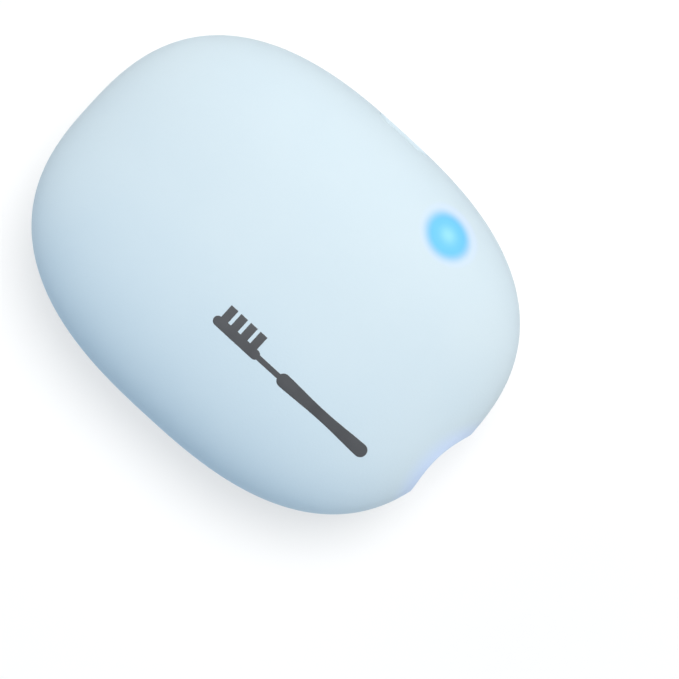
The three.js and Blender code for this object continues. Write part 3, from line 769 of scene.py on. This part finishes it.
def all_screws():
    big = screw_shape(head_radius=1.9, head_height=1.1, shank_radius=0.92, length=6.4)
    small = screw_shape(head_radius=1.4, head_height=0.9, shank_radius=0.64, length=3.4)
    for half, body in (("front", "lid"), ("back", "base")):
        names = [f"{half}_reflector_screw_{i + 1}" for i in range(len(SCREW_PLACES))]
        screws(big, names, SCREW_PLACES, SCREW_HEAD_Z, body)
    boards = (
        ("lamp_board", LAMP_BOARD_SCREWS, BOARD_NEAR),
        ("side_board", SIDE_BOARD_SCREWS, SIDE_BOARD_NEAR),
    )
    for board, spots, near in boards:
        names = [f"{board}_screw_{i + 1}" for i in range(len(spots))]
        screws(small, names, spots, near + BOARD_SCREW_RISE, "lid", turned_over=-1)
    for pattern in (big, small):
        bpy.data.objects.remove(pattern)


def hinge_pin():
    loop = circle(PIN_RADIUS, 40, (HINGE_Y, HINGE_Z))
    piece = Solids(bar(loop, -PIN_REACH, PIN_REACH, PIN_BEVEL, along_x)).build()
    return place(piece, "hinge_rod", "base", "hinge_pin")


def usb_socket():
    """The charging socket: a rounded shell round a contact blade."""
    back, front = SOCKET_X
    centre = (SOCKET_Y, SOCKET_Z)
    shell = bar(slot_outline(SOCKET_SIZE, centre), back, front, SOCKET_BEVEL, along_x)
    brim = [(0, back + 0.8), (0, front - SOCKET_BEVEL), (0.1, front), (0.3, front + 0.2)]
    bore = stack(slot_outline(SOCKET_BORE, centre), brim, along_x)
    low = (SOCKET_Y - BLADE_HALF[0], SOCKET_Z - BLADE_HALF[1])
    high = (SOCKET_Y + BLADE_HALF[0], SOCKET_Z + BLADE_HALF[1])
    blade = bar(rounded(low, high, 0.12, 3), back + 0.4, front - 0.6, bevel=0.1, axis=along_x)
    piece = join(cut(Solids(shell).build(), Solids(bore)), Solids(blade))
    return place(piece, "charging_socket", "lid", "usb_socket")


def socket_contacts():
    """Gold pads on both faces of the contact blade."""
    pads = []
    back, front = CONTACT_X
    wide, high = CONTACT_HALF
    for side in (-1, 1):
        z = SOCKET_Z + side * BLADE_HALF[1]
        for i in range(CONTACT_COUNT):
            y = SOCKET_Y + (i - (CONTACT_COUNT - 1) / 2) * CONTACT_PITCH
            pads.append(brick((back, y - wide, z - high), (front, y + wide, z + high), bevel=0.01))
    return place(Solids(*pads).build(), "socket_contacts", "lid", None)


def indicator_guide():
    piece = Solids(plug(INDICATOR, GUIDE_RADIUS, GUIDE_START, GUIDE_POCKET_INSET + GUIDE_GAP)).build()
    return place(piece, "light_pipe", "lid", "indicator_light_guide")


# ---- Printing on the front cover ----------------------------------------------------------------


def printed(samples, columns=7):
    """Rings of a thin patch on the front cover, from (y, low x, high x) samples along it."""
    rings = []
    for y, low, high in samples:
        across = np.linspace(low, high, columns)
        upper = [(x, y, shell_z(x, y) + PRINT_RISE) for x in across]
        lower = [(x, y, shell_z(x, y) - PRINT_DEPTH) for x in across[::-1]]
        rings.append(upper + lower)
    return rings


def rounded_strip(start, end, half_width, count, waist=0.0):
    """Samples of a strip with round ends along y, narrower in the middle by the share waist."""
    x, y = PRINT_PLACE
    samples = []
    for turn in np.linspace(0, math.pi, count):
        share = (1 - math.cos(turn)) / 2
        at = start + (end - start) * share
        half = half_width * (1 - waist * math.sin(math.pi * share) ** 2)
        gap = min(at - start, end - at)
        if gap < half:
            half = math.sqrt(max(half**2 - (half - gap) ** 2, 1e-4))
        samples.append((y + at, x + BRUSH_SHIFT - half, x + BRUSH_SHIFT + half))
    return samples


def front_print():
    """A plain toothbrush sign: a handle, a neck, a head and its tufts. The head points to the tail."""
    x, y = PRINT_PLACE
    half = PRINT_LENGTH / 2
    strips = [
        rounded_strip(-half, HANDLE_END, HANDLE_HALF_WIDTH, 70, HANDLE_WAIST),
        rounded_strip(*NECK_ENDS, NECK_HALF_WIDTH, 40),
        rounded_strip(HEAD_START, half, HEAD_HALF_WIDTH, 50),
    ]
    lofts = [printed(strip) for strip in strips]
    low, high = (x + reach for reach in TUFT_REACH)
    for i in range(TUFT_COUNT):
        start = y + TUFT_START + i * TUFT_PITCH
        lofts.append(printed([(start + t, low, high) for t in np.linspace(0, TUFT_WIDTH, 6)], 9))
    pieces = [Solids(loft).build() for loft in lofts]
    return place(join(*pieces), "front_print", "lid", None, sharp=60)


# ---- Materials ----------------------------------------------------------------------------------


def srgb(red, green, blue):
    """An 8-bit colour as linear values."""
    shares = [v / 255 for v in (red, green, blue)]
    linear = [v / 12.92 if v <= 0.04045 else ((v + 0.055) / 1.055) ** 2.4 for v in shares]
    return (*linear, 1.0)


BLACK = (0.0, 0.0, 0.0, 1.0)


class Material:
    """A Principled material whose colour, roughness and surface vary finely with noise.

    The colour wanders between two, in patches set by scale, and the roughness and bump follow the grain.
    Any other input of the shader can be given by its name, with _ for a space.
    """

    def __init__(
        self, name, colour, second, scale=220.0, rough=(0.4, 0.5), grain=900.0, bump=0.02, **inputs
    ):
        self.data = bpy.data.materials.new(name)
        self.data.use_nodes = True
        self.tree = self.data.node_tree
        self.shader = self.tree.nodes["Principled BSDF"]
        self.position = self.tree.nodes.new("ShaderNodeTexCoord").outputs["Object"]
        self.colour = self.mix(self.remap(self.noise(scale, 3), 0, 1), colour, second)
        self.link(self.colour, "Base Color")
        fine = self.noise(grain, 4)
        self.link(self.remap(fine, *rough), "Roughness")
        relief = self.node("ShaderNodeBump", {"Strength": bump, "Distance": 0.0004, "Height": fine})
        self.link(relief.outputs["Normal"], "Normal")
        for key, value in inputs.items():
            self.shader.inputs[key.replace("_", " ")].default_value = value

    def node(self, kind, inputs, **settings):
        """A node with its settings, and its inputs linked or set."""
        node = self.tree.nodes.new(kind)
        for key, value in settings.items():
            setattr(node, key, value)
        for key, value in inputs.items():
            if isinstance(value, bpy.types.NodeSocket):
                self.tree.links.new(value, node.inputs[key])
            else:
                node.inputs[key].default_value = value
        return node

    def link(self, output, socket):
        self.tree.links.new(output, self.shader.inputs[socket])

    def noise(self, scale, detail):
        inputs = {"Scale": scale, "Detail": detail, "Vector": self.position}
        return self.node("ShaderNodeTexNoise", inputs).outputs["Fac"]

    def remap(self, value, low, high):
        limits = {"From Min": 0.3, "From Max": 0.7, "To Min": low, "To Max": high, "Value": value}
        return self.node("ShaderNodeMapRange", limits).outputs["Result"]

    def mix(self, factor, first, second):
        """A mix node's colour sockets are numbers 6 and 7, and its colour output is number 2."""
        return self.node("ShaderNodeMix", {0: factor, 6: first, 7: second}, data_type="RGBA").outputs[2]

    def vector_maths(self, operation, inputs):
        return self.node("ShaderNodeVectorMath", inputs, operation=operation)

    def distance(self, point):
        """Distance in millimetres from a point given in metres."""
        shift = self.vector_maths("SUBTRACT", {0: self.position, 1: point}).outputs[0]
        scaled = self.vector_maths("SCALE", {0: shift, "Scale": 1 / MM}).outputs[0]
        return self.vector_maths("LENGTH", {0: scaled}).outputs["Value"]

    def ramp(self, point, reach, stops):
        """A colour by distance from a point, from (share of reach, colour) stops."""
        share = self.node("ShaderNodeMath", {0: self.distance(point), 1: reach}, operation="DIVIDE")
        ramp = self.node("ShaderNodeValToRGB", {"Fac": share.outputs[0]})
        ramp.color_ramp.interpolation = "EASE"
        first, last = ramp.color_ramp.elements
        first.position, first.color = stops[0]
        last.position, last.color = stops[-1]
        for position, colour in stops[1:-1]:
            ramp.color_ramp.elements.new(position).color = colour
        return ramp.outputs["Color"]

    def glow(self, point, reach, stops, strength):
        """Light given off round a point."""
        self.link(self.ramp(point, reach, stops), "Emission Color")
        self.shader.inputs["Emission Strength"].default_value = strength

    def tint_with_painted_light(self, point, reach, colour, stops):
        """Paints light into the base colour: turns it towards another round a point, by (share of reach,
        grey amount) stops.
        """
        self.colour = self.mix(self.ramp(point, reach, stops), self.colour, colour)
        self.link(self.colour, "Base Color")


def grey(value):
    return value, value, value, 1.0


COVER_BLUE = srgb(197, 212, 220)
COVER_BLUE_SHADE = srgb(194, 210, 219)
# Colours of light painted into the front cover's base colour: the indicator's blue, and lavender for its
# halo and for violet lamp light at the mouth
INDICATOR_LIGHT_TINT = srgb(100, 176, 244)
LAVENDER_LIGHT_TINT = srgb(196, 214, 250)
GLOW_SHIFT = 0.35  # millimetres that the glow lies down the slope from its light guide
# Where the painted lavender halo of indicator light lies from the glow's spot
HALO_SHIFT = (0.6, -0.2)
TRAY_GLOW_Y = -31.0


def cover_material(name, glows):
    """Satin moulded plastic. On the front cover's, light is painted: a blue glow and blue tint where the
    indicator shines through it, a lavender halo beside that, and lavender violet lamp light round the
    mouth.
    """
    made = Material(
        name,
        COVER_BLUE,
        COVER_BLUE_SHADE,
        scale=60,
        rough=(0.50, 0.60),
        grain=2600,
        bump=0.05,
        Specular_IOR_Level=0.03,
    )
    if glows:
        x, y = INDICATOR[0] + GLOW_SHIFT, INDICATOR[1]
        spot = (x * MM, y * MM, (PARTING_Z + shell_z(x, y)) * MM)
        mouth = (MOUTH_X * MM, (2 - HALF_LENGTH) * MM, PARTING_Z * MM)
        # Painted violet lamp light: the base colour turns lavender round the mouth.
        made.tint_with_painted_light(mouth, 10.0, LAVENDER_LIGHT_TINT, [(0.0, grey(0.7)), (0.6, grey(0.6)), (1.0, BLACK)])
        # Painted indicator light: a lavender halo beside the spot, then a blue tint at the spot itself.
        halo = ((x + HALO_SHIFT[0]) * MM, (y + HALO_SHIFT[1]) * MM, spot[2])
        made.tint_with_painted_light(halo, 5.4, LAVENDER_LIGHT_TINT, [(0.0, grey(0.8)), (0.6, grey(0.6)), (1.0, BLACK)])
        made.tint_with_painted_light(spot, 4.5, INDICATOR_LIGHT_TINT, [(0.0, grey(0.85)), (0.55, grey(0.95)), (1.0, BLACK)])
        # Painted indicator light, given off as a glow round the spot.
        light = [(0.0, srgb(130, 180, 215)), (0.5, srgb(40, 122, 190)), (1.0, BLACK)]
        made.glow(spot, 4.0, light, 0.48)
    return made.data


def reflector_material():
    """Metallised plastic, with violet lamp light painted on as a glow towards the mouth."""
    made = Material(
        "metallised_tray",
        srgb(214, 216, 222),
        srgb(204, 207, 214),
        scale=90,
        rough=(0.28, 0.38),
        grain=1500,
        bump=0.03,
        Metallic=0.8,
    )
    # Painted violet lamp light: emission that grows towards the mouth.
    stops = [(0.0, srgb(250, 150, 245)), (0.5, srgb(205, 95, 225)), (1.0, BLACK)]
    made.glow((MOUTH_X * MM, TRAY_GLOW_Y * MM, PARTING_Z * MM), 14.0, stops, 0.8)
    return made.data


def simple(name, first, second, **options):
    """A material that wanders between two 8-bit colours."""
    return Material(name, srgb(*first), srgb(*second), **options).data


def lit(name, first, second, light, strength):
    """A lamp's material, which gives off light of an 8-bit colour."""
    made = Material(name, srgb(*first), srgb(*second), scale=900, rough=(0.2, 0.35), bump=0.04)
    made.shader.inputs["Emission Color"].default_value = srgb(*light)
    made.shader.inputs["Emission Strength"].default_value = strength
    return made.data


def metal(name, first, second, scale, rough, bump):
    return simple(name, first, second, scale=scale, rough=rough, bump=bump, Metallic=1.0)


def all_materials():
    return {
        "cover_lit": cover_material("satin_blue_plastic_lit", True),
        "cover": cover_material("satin_blue_plastic", False),
        "print": simple("dark_grey_ink", (78, 79, 82), (70, 71, 74), rough=(0.45, 0.6), bump=0.05),
        "reflector": reflector_material(),
        "window": simple(
            "quartz_glass",
            (240, 246, 250),
            (234, 242, 248),
            rough=(0.02, 0.06),
            bump=0.01,
            Transmission_Weight=0.92,
            IOR=1.46,
        ),
        "ceramic": simple("lamp_ceramic", (236, 228, 204), (228, 218, 190), rough=(0.4, 0.55), bump=0.05),
        "uvc": lit("uvc_lens", (210, 190, 250), (200, 180, 245), (96, 60, 255), 3.5),
        "uva": lit("uva_lens", (236, 190, 250), (228, 180, 245), (200, 60, 235), 3.5),
        "indicator_lamp": lit("diode", (190, 226, 250), (180, 218, 246), (130, 205, 255), 3.0),
        "steel": metal("bright_steel", (186, 189, 193), (168, 171, 176), 1500, (0.2, 0.36), 0.06),
        "magnet": metal("nickel_plate", (196, 197, 201), (182, 182, 186), 700, (0.12, 0.25), 0.03),
        "socket_shell": metal("stamped_steel", (190, 193, 197), (172, 175, 180), 900, (0.2, 0.34), 0.04),
        "gold": metal("gold_plate", (226, 186, 92), (206, 164, 72), 600, (0.2, 0.3), 0.02),
        "battery_cell": metal("foil_pouch", (188, 191, 197), (170, 173, 180), 300, (0.3, 0.5), 0.25),
        "circuit_board": simple(
            "white_board",
            (236, 237, 232),
            (226, 228, 222),
            scale=400,
            rough=(0.35, 0.5),
            bump=0.08,
        ),
        "chip": simple("moulded_chip", (34, 34, 37), (26, 26, 28), grain=3000, rough=(0.5, 0.7), bump=0.2),
        "foam": simple("black_foam", (46, 46, 48), (28, 28, 30), scale=2200, rough=(0.85, 1.0), bump=0.6),
        "seal": simple("silicone_seal", (238, 238, 236), (226, 227, 226), rough=(0.6, 0.75), bump=0.06),
        "light_guide": simple(
            "clear_guide",
            (228, 240, 248),
            (216, 232, 244),
            rough=(0.08, 0.16),
            Transmission_Weight=0.6,
            IOR=1.49,
        ),
        "lead_red": simple("red_insulation", (178, 40, 32), (158, 32, 26), rough=(0.4, 0.55), bump=0.08),
        "lead_black": simple("black_insulation", (30, 30, 31), (22, 22, 23), rough=(0.4, 0.55), bump=0.08),
        "flat_cable": simple("flat_cable", (206, 150, 84), (188, 132, 70), rough=(0.3, 0.45), bump=0.08),
    }


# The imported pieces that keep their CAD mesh, by finish
CARRIED_OVER = {
    "seal": ("window_seal",),
    "circuit_board": ("lamp_board", "side_board"),
    "chip": ("control_chip", "charger_chip", "lid_sensor", "boost_coil"),
    "foam": ("cell_pad",),
    "battery_cell": ("cell",),
    "lead_red": ("cell_lead_red",),
    "lead_black": ("cell_lead_black",),
    "indicator_lamp": ("indicator_led",),
    "flat_cable": ("board_cable",),
    "magnet": (
        "front_catch_magnet_right",
        "front_catch_magnet_left",
        "back_catch_magnet_right",
        "back_catch_magnet_left",
        "lid_sensor_magnet",
    ),
}

# The pieces made here, by finish, besides the steel ones and the lamps
NEW_PIECES = {
    "cover_lit": ("front_shell",),
    "cover": ("back_shell",),
    "print": ("front_print",),
    "reflector": ("front_tray", "back_tray"),
    "window": ("window_glass",),
    "socket_shell": ("charging_socket",),
    "gold": ("socket_contacts",),
    "light_guide": ("light_pipe",),
}


def paint(piece, *materials):
    """Gives a new piece its materials, keeping which face has which."""
    for material in materials:
        piece.data.materials.append(material)


def paint_everything():
    finishes = all_materials()
    for finish, names in CARRIED_OVER.items():
        for name in names:
            for slot in frame["nodes"][name].material_slots:
                slot.material = finishes[finish]
    for finish, names in NEW_PIECES.items():
        for name in names:
            paint(bpy.data.objects[name], finishes[finish])
    steel = [o for o in bpy.data.objects if o.name.endswith("_body") and "_screw_" in o.name]
    for piece in [*steel, bpy.data.objects["hinge_rod"]]:
        paint(piece, finishes["steel"])
    for name in LAMP_NAMES:
        paint(bpy.data.objects[f"{name}_body"], finishes["ceramic"], finishes[name[:3]])


# ---- Studio -------------------------------------------------------------------------------------

# In metres
FLOOR_RADIUS = 3.0
FLOOR_CURVE = 0.5
FLOOR_WALL = 0.62
CAMERA_HEIGHT = 0.3634  # above the parting plane
CAMERA_PLACE = (-0.00065, -0.0129)

CAMERA_ROLL = -47.47  # degrees
LAMPLIGHT = (1.0, 0.995, 0.985)
FILL_BLUE = (0.0, 0.5, 1.0)


def floor():
    """A plain pale sheet that curves up far away, and gives off a little light, more further out."""
    outer = FLOOR_RADIUS + 0.05
    profile = [(0, -0.02), (outer, -0.02), (outer, FLOOR_WALL), (FLOOR_RADIUS, FLOOR_WALL)]
    for turn in np.linspace(0, -math.pi / 2, 12):
        back, up = 1 - math.cos(turn), 1 + math.sin(turn)
        profile.append((FLOOR_RADIUS - FLOOR_CURVE * back, FLOOR_CURVE * up))
    piece = Solids(turned(profile + [(0, 0)], sides=96)).build("floor")
    made = Material(
        "pale_floor",
        grey(0.34),
        grey(0.32),
        scale=2,
        grain=40,
        rough=(0.8, 0.95),
        bump=0.0,
        Specular_IOR_Level=0.0,
    )
    made.glow((0, 0, 0), 1500, [(0.0, grey(0.63)), (0.2, grey(0.63)), (1.0, grey(0.85))], 1.0)
    paint(piece, made.data)
    piece.data.shade_smooth()
    piece.data.set_sharp_from_angle(angle=math.radians(30))


def area_light(name, spot, target, size, power, colour):
    data = bpy.data.lights.new(name, "AREA")
    data.shape = "DISK"
    data.size = size
    data.energy = power
    data.color = colour
    lamp = bpy.data.objects.new(name, data)
    lamp.location = spot
    lamp.rotation_euler = (Vector(target) - Vector(spot)).to_track_quat("-Z", "Y").to_euler()
    bpy.context.scene.collection.objects.link(lamp)
    return lamp


def studio():
    scene = bpy.context.scene
    scene.view_settings.view_transform = "Standard"
    world = bpy.data.worlds.new("studio")
    world.use_nodes = True
    background = world.node_tree.nodes["Background"]
    background.inputs["Color"].default_value = (0.62, 0.84, 1.0, 1.0)
    background.inputs["Strength"].default_value = 0.03
    scene.world = world
    middle = (0.0, 0.0, PARTING_Z * MM)
    area_light("key", (0.222, 0.0, 0.796), middle, 0.4, 7.2, LAMPLIGHT)
    area_light("side_1", (0.15, 0.80, 0.37), middle, 0.6, 1.5, LAMPLIGHT)
    area_light("side_2", (0.15, -0.80, 0.37), middle, 0.6, 1.5, LAMPLIGHT)
    fill = area_light("fill", (-0.8, 0.0, 0.16), middle, 0.6, 1.8, FILL_BLUE)
    fill.visible_glossy = False


def camera():
    data = bpy.data.cameras.new("camera")
    data.lens = 135
    data.sensor_width = 36
    data.clip_start = 0.01
    made = bpy.data.objects.new("camera", data)
    made.location = (*CAMERA_PLACE, PARTING_Z * MM + CAMERA_HEIGHT)
    made.rotation_euler = Euler((0, 0, math.radians(CAMERA_ROLL)))
    bpy.context.scene.collection.objects.link(made)
    bpy.context.scene.camera = made


# ---- Scene --------------------------------------------------------------------------------------

front_cover()
back_cover()
front_reflector()
back_reflector()
lamp_window()
lamps()
all_screws()
hinge_pin()
usb_socket()
socket_contacts()
indicator_guide()
front_print()
paint_everything()
floor()
studio()
camera()
